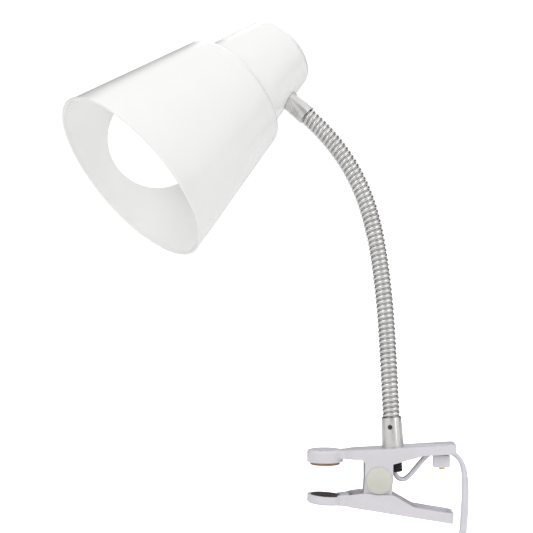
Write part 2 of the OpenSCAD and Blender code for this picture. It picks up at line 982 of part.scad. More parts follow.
module plug_body() {
    flange_w = 35;
    nose_w = 27;
    tail_w = 9;
    color("whitesmoke")
        difference() {
            translate([plug_x, plug_y, plug_z - plug_h / 2])
                linear_extrude(plug_h)
                    polygon([[-tail_w / 2, 0], [-nose_w / 2, -10], [-flange_w / 2, -20], [-flange_w / 2, -24],
                        [-nose_w / 2, -28], [-nose_w / 2, -plug_len], [nose_w / 2, -plug_len], [nose_w / 2, -28],
                        [flange_w / 2, -24], [flange_w / 2, -20], [nose_w / 2, -10], [tail_w / 2, 0]]);
            for (s = [-1, 1])
                plug_pin_axis(s)
                    translate([0, 0, -8])
                        cylinder(r = plug_shank_r, h = 9);
        }
}

module plug_pin_axis(s) {
    translate([plug_x + s * plug_pin_at, plug_y - plug_len, plug_z])
        rotate([90, 0, 0])
            children();
}

module plug_pins() {
    color("gold")
        for (s = [-1, 1])
            plug_pin_axis(s) {
                translate([0, 0, -8])
                    cylinder(r = plug_shank_r, h = 9);
                translate([0, 0, plug_neck])
                    cylinder(r = plug_pin_r, h = plug_pin_len - plug_neck - plug_tip);
                translate([0, 0, plug_pin_len - plug_tip])
                    cylinder(r1 = plug_pin_r, r2 = 1.2, h = plug_tip);
            }
}

upper_jaw();
lower_jaw();
upper_pad();
lower_pad();
pivot_pin();
pivot_caps();
jaw_spring();
clamp_block();
clamp_screws();
inner_lead();
base_nipple();
base_nut();
base_washer();
lower_ferrule();
set_screw();
for (k = [1 : links])
    neck_link(k);
for (k = [1 : links])
    neck_lead(k);
upper_ferrule();
head_nipple();
head_nut();
head_washer();
shade();
rear_cup();
cup_screws();
lampholder_body();
lampholder_shell();
retaining_ring();
centre_contact();
terminal_screws();
head_leads();
bulb_globe();
bulb_housing();
bulb_cap();
bulb_tip();
cord_main();
switch_base();
switch_cover();
switch_rocker();
cord_tail();
cord_coil();
cord_tie();
cord_end();
plug_body();
plug_pins();
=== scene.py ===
import json
import math

import bpy
from bpy.props import FloatProperty, FloatVectorProperty, IntProperty, PointerProperty
from mathutils import Matrix, Vector


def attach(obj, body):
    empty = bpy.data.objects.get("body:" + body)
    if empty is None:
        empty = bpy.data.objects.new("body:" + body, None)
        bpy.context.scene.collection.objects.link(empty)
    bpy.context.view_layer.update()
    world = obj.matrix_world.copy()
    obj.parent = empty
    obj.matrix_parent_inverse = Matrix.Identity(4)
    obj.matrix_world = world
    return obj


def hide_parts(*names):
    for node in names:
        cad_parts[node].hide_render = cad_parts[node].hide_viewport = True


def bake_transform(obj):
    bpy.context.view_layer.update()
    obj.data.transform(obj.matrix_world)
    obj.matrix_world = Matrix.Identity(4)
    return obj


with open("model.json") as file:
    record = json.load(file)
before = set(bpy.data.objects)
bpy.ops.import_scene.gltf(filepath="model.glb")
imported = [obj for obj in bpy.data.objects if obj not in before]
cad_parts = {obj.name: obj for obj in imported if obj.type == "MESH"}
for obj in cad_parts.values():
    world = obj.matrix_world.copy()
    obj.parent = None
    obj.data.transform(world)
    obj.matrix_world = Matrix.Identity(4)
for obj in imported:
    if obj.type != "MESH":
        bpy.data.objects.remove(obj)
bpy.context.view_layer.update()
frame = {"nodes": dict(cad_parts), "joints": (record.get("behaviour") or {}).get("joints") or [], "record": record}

bl_info = {
    "name": "Clip-on reading lamp",
    "version": (1, 0, 0),
    "blender": (4, 5, 0),
    "location": "View3D > Sidebar > Lamp",
    "description": "Models and finishes a clip-on reading lamp around its packed frame",
    "category": "Object",
}

# Metres in a millimetre, and the height in mm of the floor that the coil lies on
MM = 0.001
FLOOR_Z = -100.2
WHITE = (1.0, 1.0, 1.0, 1.0)
JOINTS = {joint["name"]: joint for joint in frame["joints"]}

# The hose: bend of each length in degrees, the lengths in mm, and its leaning plane
HOSE_BENDS = (-0.5, 0.5, 2.5, 3.0, 6.5, 11.5, 12.0, 10.0)
HOSE_LENGTH = 24.2
HOSE_LEAN = 3.5
HOSE_PLANE = math.radians(18.0)
HOSE_FOOT = Vector((40.5, 0.0, 10.45))
HOSE_IN_FERRULE = 7.0
HOSE_LEAD_IN = 8.0
HOSE_TAIL = 1.3
HOSE_WALL = 0.35
LEAD_R = 2.2
FERRULE = 18.0

# The head: its own lengths in mm, from the mouth along its axis
MOUTH_R = 57.6
SHADE_TAPER = 0.2232
SHADE_LENGTH = 88.5
SHADE_CORNER = 4.4
CUP_R = 32.0
CUP_TAPER = 0.2156
CUP_CORNER = 5.9
HEAD_LENGTH = 132.5
NECK_HEIGHT = 108.7
HEAD_TURN = math.radians(36.0)
HOLDER_OFFSET = 8.0
HOLDER_HOLE_R = 17.35
UPPER_FERRULE = 16.0
WALL = 1.2
GLOBE_R = 29.5
GLOBE_CENTRE = 31.0

# The clip, in mm: the jaws' pivot and half width, the pads, and the spring's coil and legs
PIVOT = Vector((31.6, 0.0, -8.3))
LOWER_TILT = math.radians(4.0)
HALF_WIDTH = 10.0
PAD_R = 9.0
PAD_RINGS = (2.2, 4.6, 7.0)
UPPER_PAD = Vector((-0.3, 0.0, 0.0))
UPPER_PAD_TOP = 3.1
LOWER_PAD = Vector((-30.8, 0.0, -11.9))
LOWER_PAD_SEAT = -13.3
SPRING_TURNS = (115.0, 241.0 + 360 * 4)
SPRING_COIL_R = 4.0
SPRING_HALF = 5.75
SPRING_WIRE_R = 0.7
SPRING_LEGS = (32.1, 37.0)

# The mains cord's routes in mm, each point with the turn of its flat side in degrees
CORD_DOWN = [((74.2, 0, 7.4), 0), ((78, 0, 5.6), 0), ((80.8, 0, 2.4), 8), ((82.6, 0, -2), 20),
             ((83.6, 0, -8), 42), ((83.9, 0, -16), 66), ((83.6, 0, -26), 82), ((82.8, 0, -38), 86),
             ((81.6, 0, -50), 74), ((80, 0, -62), 48), ((77.2, 0, -73), 22), ((72.5, 0, -81), 8),
             ((65.5, 0, -87.8), 0), ((57, 0, -91.6), 0), ((48, 0, -92.4), 0), ((38, 0, -92), 0)]
CORD_TAIL = [((10, 0, -92), 90), ((-18, 0, -92), 90), ((-25, 0, -92.8), 90), ((-32, 0.5, -94.8), 90),
             ((-40, 2.8, -97), 88), ((-47, 7.5, -97.7), 80), ((-51, 13.5, -97.7), 68),
             ((-51.5, 20, -97.7), 52), ((-49.5, 26.5, -97.7), 36), ((-44.5, 32, -97.7), 20),
             ((-37, 35, -97.5), 8), ((-28, 35.7, -97), 0), ((-18, 35.7, -96.7), 0), ((-2, 35.7, -96.7), 0)]
CORD_END = [((38.6, 75, -88), 0), ((39.9, 81, -89), 0), ((43.5, 87, -90.4), 8), ((49, 91, -91.7), 22),
            ((57, 92.8, -92.7), 42), ((65, 91.4, -93.1), 62), ((72, 87.1, -93.1), 80),
            ((76, 80.5, -93.1), 90), ((77, 72, -93.1), 90)]
COIL_CENTRE = (10.0, 64.0)
COIL_COLUMNS = (28.3, 25.0, 21.7)
COIL_LEVELS = (-96.65, -92.05, -87.45)
COIL_TURNS = ((0, 0), (1, 0), (2, 0), (2, 1), (2, 2), (1, 2), (1, 1), (0, 1), (0, 2))
SWITCH_ENDS = (("switch_sleeve_clip", 38.05, 1), ("switch_sleeve_plug", -18.05, -1))
LEAD_ROUTE = [(40.1, 0, 17.5), (40.6, 0, 10.4), (41.4, 0, -3), (42.3, 0, -6.6), (44.6, 0, -8.7),
              (47.6, 0, -8.7), (50.4, 0, -6.6), (53.6, 0, -2.9), (57, 0, 1.2), (60.2, 0, 4.7),
              (64, 0, 7.4), (69, 0, 8.4), (73.3, 0, 7.6)]


class LampSizes(bpy.types.PropertyGroup):
    ridge_pitch: FloatProperty(
        name="Ridge pitch", description="Distance from one ridge of the hose to the next",
        default=2.94 * MM, min=2 * MM, max=4 * MM, precision=5, unit="LENGTH")
    ridge_radius: FloatProperty(
        name="Hose radius", description="Radius over the hose's ridges",
        default=5.27 * MM, min=4.8 * MM, max=5.4 * MM, precision=5, unit="LENGTH")
    jaw_edge: FloatProperty(
        name="Jaw edge radius", description="Rounding of the moulded jaws' edges",
        default=0.55 * MM, min=0.2 * MM, max=0.8 * MM, precision=5, unit="LENGTH")
    lip: FloatProperty(
        name="Shade lip", description="Radius of the rolled lip round the shade's mouth",
        default=0.8 * MM, min=0.6 * MM, max=1.2 * MM, precision=5, unit="LENGTH")
    cord_width: FloatProperty(
        name="Cord width", description="Width of the flat twin cord over both cores",
        default=4.6 * MM, min=4 * MM, max=5 * MM, precision=5, unit="LENGTH")
    cord_thickness: FloatProperty(
        name="Cord thickness", description="Thickness of the flat twin cord",
        default=2.8 * MM, min=2.4 * MM, max=3.2 * MM, precision=5, unit="LENGTH")
    facets: IntProperty(
        name="Facets", description="Facets round the shade and the cup",
        default=144, min=48, max=192)


class LampColours(bpy.types.PropertyGroup):
    enamel: FloatVectorProperty(
        name="Enamel", description="Colour of the shade and the rear cup",
        default=(0.93, 0.93, 0.92), min=0, max=1, subtype="COLOR")
    clip: FloatVectorProperty(
        name="Clip plastic", description="Colour of the two jaws and the cord clamp",
        default=(0.72, 0.70, 0.745), min=0, max=1, subtype="COLOR")
    cap: FloatVectorProperty(
        name="Pivot cap", description="Colour of the two domed pivot caps",
        default=(0.66, 0.66, 0.59), min=0, max=1, subtype="COLOR")
    tan: FloatVectorProperty(
        name="Upper pad", description="Colour of the rubber pad under the upper nose",
        default=(0.36, 0.23, 0.15), min=0, max=1, subtype="COLOR")
    dark: FloatVectorProperty(
        name="Lower pad", description="Colour of the rubber pad on the lower nose",
        default=(0.035, 0.028, 0.025), min=0, max=1, subtype="COLOR")
    cord: FloatVectorProperty(
        name="Cord", description="Colour of the cord's sheath",
        default=(0.74, 0.73, 0.78), min=0, max=1, subtype="COLOR")
    nickel: FloatVectorProperty(
        name="Nickel", description="Colour of the satin nickel on the hose and ferrules",
        default=(0.74, 0.735, 0.72), min=0, max=1, subtype="COLOR")


# Selecting, placing and finishing ------------

def settle():
    """Object mode, with nothing selected."""
    if bpy.context.object and bpy.context.object.mode != "OBJECT":
        bpy.ops.object.mode_set(mode="OBJECT")
    bpy.ops.object.select_all(action="DESELECT")


def take(piece):
    """Only this piece is selected and active."""
    settle()
    piece.select_set(True)
    bpy.context.view_layer.objects.active = piece
    return piece


def new_object(name, data):
    """An object for this data, in the scene."""
    piece = bpy.data.objects.new(name, data)
    bpy.context.scene.collection.objects.link(piece)
    return piece


def edit_all(piece):
    """Edit mode on this piece alone, with the whole of it selected."""
    take(piece)
    bpy.ops.object.mode_set(mode="EDIT")
    bpy.ops.mesh.select_all(action="SELECT")


def settle_mesh(piece, place=None, smooth=32.0):
    """The piece's place goes into its mesh, and its flats keep crisp edges."""
    take(piece)
    bpy.ops.object.transform_apply(location=True, rotation=True, scale=True)
    if place is not None:
        piece.matrix_world = place
        bpy.ops.object.transform_apply(location=True, rotation=True, scale=True)
    bpy.ops.object.shade_smooth_by_angle(angle=math.radians(smooth))
    return piece


def apply_modifier(piece, kind, **values):
    """Adds a modifier with these values and applies it."""
    take(piece)
    bpy.ops.object.modifier_add(type=kind)
    modifier = piece.modifiers[-1]
    for key, value in values.items():
        setattr(modifier, key, value)
    bpy.ops.object.modifier_apply(modifier=modifier.name)


def close_mesh(piece):
    """Doubles merged, holes and poles closed, and every face pointing outwards."""
    edit_all(piece)
    bpy.ops.mesh.remove_doubles(threshold=1e-6)
    bpy.ops.mesh.fill_holes(sides=0)
    bpy.ops.mesh.normals_make_consistent(inside=False)
    bpy.ops.object.mode_set(mode="OBJECT")


def turned(name, profile, sides, place=None, smooth=32.0):
    """A part turned about Z: a ring at the profile's first point, extruded and resized from point to point.
    A point is (radius, height) or (radius, height, shift along X), in mm."""
    settle()
    points = [(p[0] * MM, p[1] * MM, (p[2] if len(p) > 2 else 0.0) * MM) for p in profile]
    bpy.ops.mesh.primitive_circle_add(
        vertices=sides, radius=points[0][0], location=(points[0][2], 0, points[0][1]))
    piece = bpy.context.object
    piece.name = name
    edit_all(piece)
    for (r0, z0, x0), (r1, z1, x1) in zip(points, points[1:]):
        bpy.ops.mesh.extrude_region_move(TRANSFORM_OT_translate={"value": (x1 - x0, 0, z1 - z0)})
        bpy.ops.transform.resize(value=(r1 / r0, r1 / r0, 1), center_override=(x1, 0, z1))
    bpy.ops.object.mode_set(mode="OBJECT")
    close_mesh(piece)
    return settle_mesh(piece, place, smooth)


def rounded_copy(node, name, width):
    """A copy of a CAD part with its flats made whole and its edges rounded."""
    settle()
    piece = new_object(name, frame["nodes"][node].data.copy())
    edit_all(piece)
    bpy.ops.mesh.customdata_custom_splitnormals_clear()
    bpy.ops.mesh.remove_doubles(threshold=1e-6)
    bpy.ops.mesh.dissolve_limited(angle_limit=math.radians(0.6))
    bpy.ops.object.mode_set(mode="OBJECT")
    apply_modifier(
        piece, "BEVEL", width=width, segments=3, limit_method="ANGLE",
        angle_limit=math.radians(34.0), use_clamp_overlap=True, miter_outer="MITER_ARC")
    return settle_mesh(piece)


def fit(piece, slot, body, *nodes):
    """Gives a finished piece the finish of its slot, hides the CAD parts that it stands for, and puts it on its
    body.
    """
    piece.data.materials.clear()
    piece.data.materials.append(finish(slot))
    if nodes:
        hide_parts(*nodes)
    if body:
        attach(piece, body)
    return piece


def rounded_rows(ending, *rows):
    """Rounded copies, from rows of the CAD part, its rounding in mm, its slot and its body."""
    for node, width, slot, body in rows:
        fit(rounded_copy(node, f"{node}_{ending}", width * MM), slot, body, node)


# Finishes ------------

def new_group(name, label, value, *results):
    """A shader node group that takes a vector and a named number, and gives named numbers."""
    tree = bpy.data.node_groups.new(name, "ShaderNodeTree")
    tree.interface.new_socket("Vector", in_out="INPUT", socket_type="NodeSocketVector")
    number = tree.interface.new_socket(label, in_out="INPUT", socket_type="NodeSocketFloat")
    number.default_value = value
    for result in results:
        tree.interface.new_socket(result, in_out="OUTPUT", socket_type="NodeSocketFloat")
    return tree, tree.nodes.new("NodeGroupInput"), tree.nodes.new("NodeGroupOutput")


def maths(tree, operation, first, second=None, clamp=False):
    """A maths node on two values, each a socket or a number."""
    node = tree.nodes.new("ShaderNodeMath")
    node.operation = operation
    node.use_clamp = clamp
    for socket, value in zip(node.inputs, (first, second)):
        if hasattr(value, "links"):
            tree.links.new(value, socket)
        elif value is not None:
            socket.default_value = value
    return node.outputs[0]


def give(node, values):
    """Values for a node's inputs, by name."""
    for key, value in values.items():
        node.inputs[key].default_value = value


def noise(tree, vector, scale, detail, rough=0.5):
    """A noise texture's value, at a scale that is a socket or a number."""
    node = tree.nodes.new("ShaderNodeTexNoise")
    give(node, {"Detail": detail, "Roughness": rough})
    tree.links.new(vector, node.inputs["Vector"])
    if hasattr(scale, "links"):
        tree.links.new(scale, node.inputs["Scale"])
    else:
        node.inputs["Scale"].default_value = scale
    return node.outputs[0]


def smooth_range(tree, value, low, high):
    """0 below low, 1 above high, and a smooth step between."""
    node = tree.nodes.new("ShaderNodeMapRange")
    node.interpolation_type = "SMOOTHSTEP"
    tree.links.new(value, node.inputs["Value"])
    give(node, {"From Min": low, "From Max": high})
    return node.outputs["Result"]


def grain_group():
    """Fine relief and a slow mottle, for moulded, sprayed and drawn surfaces."""
    tree, given, made = new_group("surface grain", "Scale", 600.0, "Relief", "Mottle")
    tree.links.new(noise(tree, given.outputs["Vector"], given.outputs["Scale"], 3.0, 0.55),
                   made.inputs["Relief"])
    slow = maths(tree, "MULTIPLY", given.outputs["Scale"], 0.07)
    tree.links.new(smooth_range(tree, noise(tree, given.outputs["Vector"], slow, 2.0), 0.3, 0.7),
                   made.inputs["Mottle"])
    return tree


def wear_group():
    """A mask of rubbed edges, broken up so that no edge is worn evenly."""
    tree, given, made = new_group("edge wear", "Amount", 0.5, "Mask")
    geometry = tree.nodes.new("ShaderNodeNewGeometry")
    edge = smooth_range(tree, geometry.outputs["Pointiness"], 0.53, 0.62)
    broken = smooth_range(tree, noise(tree, given.outputs["Vector"], 260.0, 4.0, 0.6), 0.42, 0.66)
    mask = maths(tree, "MULTIPLY", edge, broken)
    tree.links.new(maths(tree, "MULTIPLY", mask, given.outputs["Amount"], True), made.inputs["Mask"])
    return tree


def dust_group():
    """A mask of the fine dust that settles on faces that look up."""
    tree, given, made = new_group("settled dust", "Amount", 0.1, "Mask")
    geometry = tree.nodes.new("ShaderNodeNewGeometry")
    split = tree.nodes.new("ShaderNodeSeparateXYZ")
    tree.links.new(geometry.outputs["Normal"], split.inputs[0])
    up = smooth_range(tree, split.outputs["Z"], 0.35, 1.0)
    specks = smooth_range(tree, noise(tree, given.outputs["Vector"], 420.0, 5.0, 0.65), 0.44, 0.72)
    mask = maths(tree, "MULTIPLY", up, specks)
    tree.links.new(maths(tree, "MULTIPLY", mask, given.outputs["Amount"], True), made.inputs["Mask"])
    return tree


def shared_group(name, make):
    """A shared group, made when it is first wanted."""
    return bpy.data.node_groups.get(name) or make()


def place_group(tree, group, vector, **values):
    """One of the shared groups in a material, fed by this vector and with its own values."""
    node = tree.nodes.new("ShaderNodeGroup")
    node.node_tree = group
    tree.links.new(vector, node.inputs["Vector"])
    for key, value in values.items():
        node.inputs[key].default_value = value
    return node


def mixed(tree, share, first, second):
    """A mix of two colours, each a socket or three numbers, by the value of a socket."""
    node = tree.nodes.new("ShaderNodeMix")
    node.data_type = "RGBA"
    tree.links.new(share, node.inputs[0])
    for socket, value in ((node.inputs[6], first), (node.inputs[7], second)):
        if hasattr(value, "links"):
            tree.links.new(value, socket)
        else:
            socket.default_value = (*value, 1.0)
    return node.outputs[2]


def make_finish(name, colour, rough, metal=0.0, coat=0.0, grain=600.0, relief=0.02, depth=0.00006,
                mottle=0.03, rough_spread=0.08, wear=0.0, worn=(0.9, 0.9, 0.9), dust=0.04,
                stretch=(1, 1, 1), glow=0.0, specular=0.5, groove_shade_reach=0.0):
    """A finish for one of the lamp's surfaces, from the shared groups with its own values."""
    material = bpy.data.materials.new(f"{name}_finish")
    material.use_nodes = True
    tree = material.node_tree
    shader = tree.nodes["Principled BSDF"]
    coordinates = tree.nodes.new("ShaderNodeTexCoord")
    mapping = tree.nodes.new("ShaderNodeMapping")
    mapping.inputs["Scale"].default_value = stretch
    tree.links.new(coordinates.outputs["Object"], mapping.inputs["Vector"])
    vector = mapping.outputs["Vector"]
    grains = place_group(tree, shared_group("surface grain", grain_group), vector, Scale=grain)
    shade = tuple(c * (1.0 - mottle) for c in colour)
    base = mixed(tree, grains.outputs["Mottle"], colour, shade)
    if wear:
        rubbed = place_group(tree, shared_group("edge wear", wear_group),
                             coordinates.outputs["Object"], Amount=wear)
        base = mixed(tree, rubbed.outputs["Mask"], base, worn)
    dusty = place_group(tree, shared_group("settled dust", dust_group),
                        coordinates.outputs["Object"], Amount=dust)
    base = mixed(tree, dusty.outputs["Mask"], base, (0.62, 0.60, 0.57))
    # Painted shade: ambient occlusion within the given reach darkens the base colour towards 12% of itself in
    # grooves and hollows, where shade falls.
    if groove_shade_reach:
        groove_shade_ao = tree.nodes.new("ShaderNodeAmbientOcclusion")
        groove_shade_ao.inputs["Distance"].default_value = groove_shade_reach
        groove_shade_ao.samples = 8
        painted_groove_shade = smooth_range(tree, groove_shade_ao.outputs["AO"], 0.85, 0.35)
        base = mixed(tree, painted_groove_shade, base, tuple(0.12 * c for c in colour))
    tree.links.new(base, shader.inputs["Base Color"])
    spread = maths(tree, "MULTIPLY", maths(tree, "SUBTRACT", grains.outputs["Mottle"], 0.5), rough_spread)
    spread = maths(tree, "ADD", spread, rough)
    spread = maths(tree, "ADD", spread, maths(tree, "MULTIPLY", dusty.outputs["Mask"], 0.3), True)
    tree.links.new(spread, shader.inputs["Roughness"])
    bump = tree.nodes.new("ShaderNodeBump")
    give(bump, {"Strength": relief, "Distance": depth})
    tree.links.new(grains.outputs["Relief"], bump.inputs["Height"])
    tree.links.new(bump.outputs["Normal"], shader.inputs["Normal"])
    give(shader, {"Metallic": metal, "Specular IOR Level": specular,
                  "Coat Weight": coat, "Coat Roughness": 0.12})
    if glow:
        give(shader, {"Emission Color": (1.0, 0.995, 0.98, 1.0), "Emission Strength": glow})
    return material


def finish(slot):
    """The material of one of the record's slots, made when it is first wanted."""
    found = bpy.data.materials.get(f"{slot}_finish")
    if found:
        return found
    colours = bpy.context.scene.lamp_colours
    rows = {
        "white_enamel": (colours.enamel, 0.24, dict(coat=0.35, grain=520, relief=0.10, depth=0.00003,
            mottle=0.012, rough_spread=0.05, dust=0.05)),
        "clip_plastic": (colours.clip, 0.30, dict(grain=900, relief=0.16, depth=0.00004, wear=0.35,
            worn=(0.82, 0.81, 0.85), dust=0.06)),
        "cream_plastic": (colours.cap, 0.34, dict(grain=1100, relief=0.15, depth=0.00004, mottle=0.04,
            dust=0.05)),
        "tan_rubber": (colours.tan, 0.78, dict(grain=1500, relief=0.5, depth=0.0001, mottle=0.18, dust=0.0,
            specular=0.3)),
        "dark_rubber": (colours.dark, 0.72, dict(grain=1500, relief=0.5, depth=0.0001, mottle=0.25,
            dust=0.12, specular=0.3)),
        "cord_pvc": (colours.cord, 0.42, dict(grain=1300, relief=0.22, depth=0.00005, mottle=0.04,
            dust=0.05)),
        "satin_nickel": (colours.nickel, 0.24, dict(metal=1.0, grain=1200, relief=0.22, depth=0.00004,
            mottle=0.08, rough_spread=0.10, dust=0.03, stretch=(1.0, 1.0, 0.06))),
        # The hose's grooves get painted shade: ambient occlusion within 1.2 mm darkens them.
        "hose_nickel": (colours.nickel, 0.30, dict(metal=1.0, grain=1500, relief=0.20, depth=0.00003,
            mottle=0.10, rough_spread=0.12, wear=0.4, worn=(0.80, 0.79, 0.77), dust=0.05, groove_shade_reach=0.0012)),
        "bright_steel": ((0.66, 0.66, 0.67), 0.24, dict(metal=1.0, grain=1400, relief=0.15, mottle=0.06,
            dust=0.03)),
        "spring_steel": ((0.42, 0.42, 0.43), 0.34, dict(metal=1.0, grain=1800, relief=0.2, mottle=0.12,
            dust=0.03)),
        "dark_steel": ((0.07, 0.07, 0.075), 0.42, dict(metal=0.7, grain=1500, relief=0.25, mottle=0.2,
            wear=0.5, worn=(0.34, 0.33, 0.32), dust=0.03)),
        "brass": ((0.72, 0.52, 0.22), 0.28, dict(metal=1.0, grain=1500, relief=0.15, mottle=0.10,
            dust=0.03)),
        "pin_brass": ((0.72, 0.66, 0.50), 0.24, dict(metal=1.0, grain=1400, relief=0.12, mottle=0.08,
            wear=0.4, worn=(0.76, 0.58, 0.28), dust=0.02, stretch=(1.0, 0.08, 1.0))),
        "holder_plastic": ((0.74, 0.72, 0.64), 0.45, dict(grain=800, relief=0.2, mottle=0.05)),
        "opal_globe": ((0.94, 0.94, 0.93), 0.36, dict(grain=500, relief=0.05, mottle=0.01, dust=0.0,
            glow=0.42)),
        "white_plastic": ((0.80, 0.80, 0.79), 0.34, dict(grain=1000, relief=0.18, wear=0.3, dust=0.06)),
        "cap_nickel": ((0.68, 0.68, 0.67), 0.26, dict(metal=1.0, grain=1200, relief=0.15, mottle=0.06,
            dust=0.02)),
        "contact_black": ((0.02, 0.02, 0.02), 0.5, dict(grain=1200, relief=0.3, mottle=0.2, dust=0.06)),
    }
    colour, rough, others = rows[slot]
    return make_finish(slot, colour, rough, **others)


# Cords and wires ------------

def smooth_line(stations, step):
    """Points and angles at close, even steps on one smooth curve through stations of (point, angle)."""
    points = [Vector(p) for p, _ in stations]
    gaps = [(b - a).length for a, b in zip(points, points[1:])]
    slopes = []
    for i, point in enumerate(points):
        if i == 0:
            slopes.append((points[1] - point) / gaps[0])
        elif i == len(points) - 1:
            slopes.append((point - points[i - 1]) / gaps[-1])
        else:
            before, after = gaps[i - 1], gaps[i]
            slopes.append(((points[i + 1] - point) / after * before
                           + (point - points[i - 1]) / before * after) / (before + after))
    line = []
    for i, gap in enumerate(gaps):
        count = max(1, math.ceil(gap / step))
        for j in range(count):
            t = j / count
            line.append((
                points[i] * (2 * t ** 3 - 3 * t ** 2 + 1) + slopes[i] * gap * (t ** 3 - 2 * t ** 2 + t)
                + points[i + 1] * (3 * t ** 2 - 2 * t ** 3) + slopes[i + 1] * gap * (t ** 3 - t ** 2),
                stations[i][1] * (1 - t) + stations[i + 1][1] * t))
    line.append((points[-1], stations[-1][1]))
    return line


def flat_sides(line, hanging):
    """The cord's wide side and heading at each point: turned from Y while it hangs, from Z once it lies."""
    sides = []
    for i, (_, angle) in enumerate(line):
        ahead = (line[min(i + 1, len(line) - 1)][0] - line[max(i - 1, 0)][0]).normalized()
        first = Vector((0, 1, 0)) if i < hanging else Vector((0, 0, 1))
        first = (first - first.dot(ahead) * ahead).normalized()
        turn = math.radians(angle)
        sides.append((first * math.cos(turn) + ahead.cross(first) * math.sin(turn), ahead))
    return sides


def twin_section(width, thickness, count=10):
    """Outline of a flat twin cord: two round cores side by side with a valley between."""
    radius = thickness / 2
    shift = width / 2 - radius
    valley = math.acos(min(1.0, shift / radius)) if shift < radius else 0.0
    outline = []
    for side in (1, -1):
        first, last = (-math.pi + valley, math.pi - valley) if side > 0 else (valley, 2 * math.pi - valley)
        for i in range(count):
            angle = first + (last - first) * i / (count - 1)
            outline.append((side * shift + radius * math.cos(angle), radius * math.sin(angle)))
    cleaned = []
    for point in outline:
        if all((Vector(point) - Vector(other)).length > 1e-6 for other in cleaned):
            cleaned.append(point)
    return cleaned


def swept(name, line, sides, section, sizes=None):
    """A section swept along a line, with a size for each ring, and closed at both ends."""
    mesh = bpy.data.meshes.new(name)
    rings = len(line)
    count = len(section)
    vertices = []
    for (point, _), (wide, ahead), size in zip(line, sides, sizes or [1.0] * rings):
        thin = ahead.cross(wide)
        vertices += [point * MM + (wide * a + thin * b) * size for a, b in section]
    faces = []
    for i in range(rings - 1):
        for j in range(count):
            k = (j + 1) % count
            faces.append((i * count + j, i * count + k, (i + 1) * count + k, (i + 1) * count + j))
    faces.append(tuple(reversed(range(count))))
    faces.append(tuple((rings - 1) * count + j for j in range(count)))
    mesh.from_pydata(vertices, [], faces)
    piece = new_object(name, mesh)
    close_mesh(piece)
    return settle_mesh(piece, None, 50.0)


def curve_along(name, points):
    """A curve through a line of points in mm."""
    settle()
    curve = bpy.data.curves.new(name, "CURVE")
    curve.dimensions = "3D"
    spline = curve.splines.new("POLY")
    spline.points.add(len(points) - 1)
    for target, point in zip(spline.points, points):
        target.co = (*(point * MM), 1.0)
    return new_object(name, curve)


def wire(name, points, radius):
    """A round wire along a line of points in mm, closed at both ends."""
    piece = curve_along(name, points)
    piece.data.bevel_depth = radius
    piece.data.bevel_resolution = 4
    piece.data.use_fill_caps = True
    take(piece)
    bpy.ops.object.convert(target="MESH")
    close_mesh(piece)
    return settle_mesh(piece, None, 40.0)


# The hose's line and the head's frame ------------

def leaning(degrees):
    """Direction in the hose's plane, at an angle from upright."""
    t = math.radians(degrees)
    return Vector((-math.sin(t) * math.cos(HOSE_PLANE), math.sin(t) * math.sin(HOSE_PLANE), math.cos(t)))


def hose_line():
    """Points in mm along the hose's middle, from below its foot joint to 6 mm past its end."""
    steps = 44
    lean = math.radians(HOSE_LEAN)
    upright = Vector((-math.sin(lean), 0, math.cos(lean)))
    foot = HOSE_FOOT + FERRULE * upright
    points = [foot - HOSE_LEAD_IN * upright, foot - HOSE_LEAD_IN / 2 * upright, foot]
    angle = HOSE_LEAN
    for bend in HOSE_BENDS:
        for i in range(steps):
            points.append(points[-1] + leaning(angle + bend * (i + 0.5) / steps) * HOSE_LENGTH / steps)
        angle += bend
    end = points[-1]
    return points + [end + 3 * leaning(angle), end + 6 * leaning(angle)]


def head_frame(shift=0.0):
    """Frame at the mouth's centre: Z along the head's axis to the cup, X towards the neck. In metres."""
    lean = HOSE_LEAN + sum(HOSE_BENDS)
    up = leaning(lean)
    across = Vector((-math.sin(HOSE_PLANE), -math.cos(HOSE_PLANE), 0))
    forward = across.cross(up)
    axis = -math.cos(HEAD_TURN) * forward - math.sin(HEAD_TURN) * across
    to_neck = -up
    wide = axis.cross(to_neck)
    knee = Vector(JOINTS["neck_sway_8"]["pos_m"]) / MM
    cup_at_neck = CUP_R - CUP_TAPER * (NECK_HEIGHT - SHADE_LENGTH)
    mouth = knee + (UPPER_FERRULE + cup_at_neck) * up - NECK_HEIGHT * axis - shift * to_neck
    rows = [(*pair, mouth[i] * MM) for i, pair in enumerate(zip(to_neck, wide, axis))]
    return Matrix([*rows, (0, 0, 0, 1)])


def lower_frame():
    """Frame at the pivot that leans with the lower jaw's nose. In metres."""
    return Matrix.Translation(PIVOT * MM) @ Matrix.Rotation(LOWER_TILT, 4, "Y")


def rounded_corner(r0, z0, taper, z_end, radius, inset, count=8):
    """Points round the corner between a tapered wall and a flat end, both inset by the same distance."""
    lean = math.atan(taper)
    centre_r = r0 - taper * (z_end - radius - z0) - radius / math.cos(lean)
    centre_z = z_end - radius
    angles = [lean + (math.pi / 2 - lean) * i / count for i in range(count + 1)]
    return [(centre_r + (radius - inset) * math.cos(a), centre_z + (radius - inset) * math.sin(a))
            for a in angles]


# The operators ------------

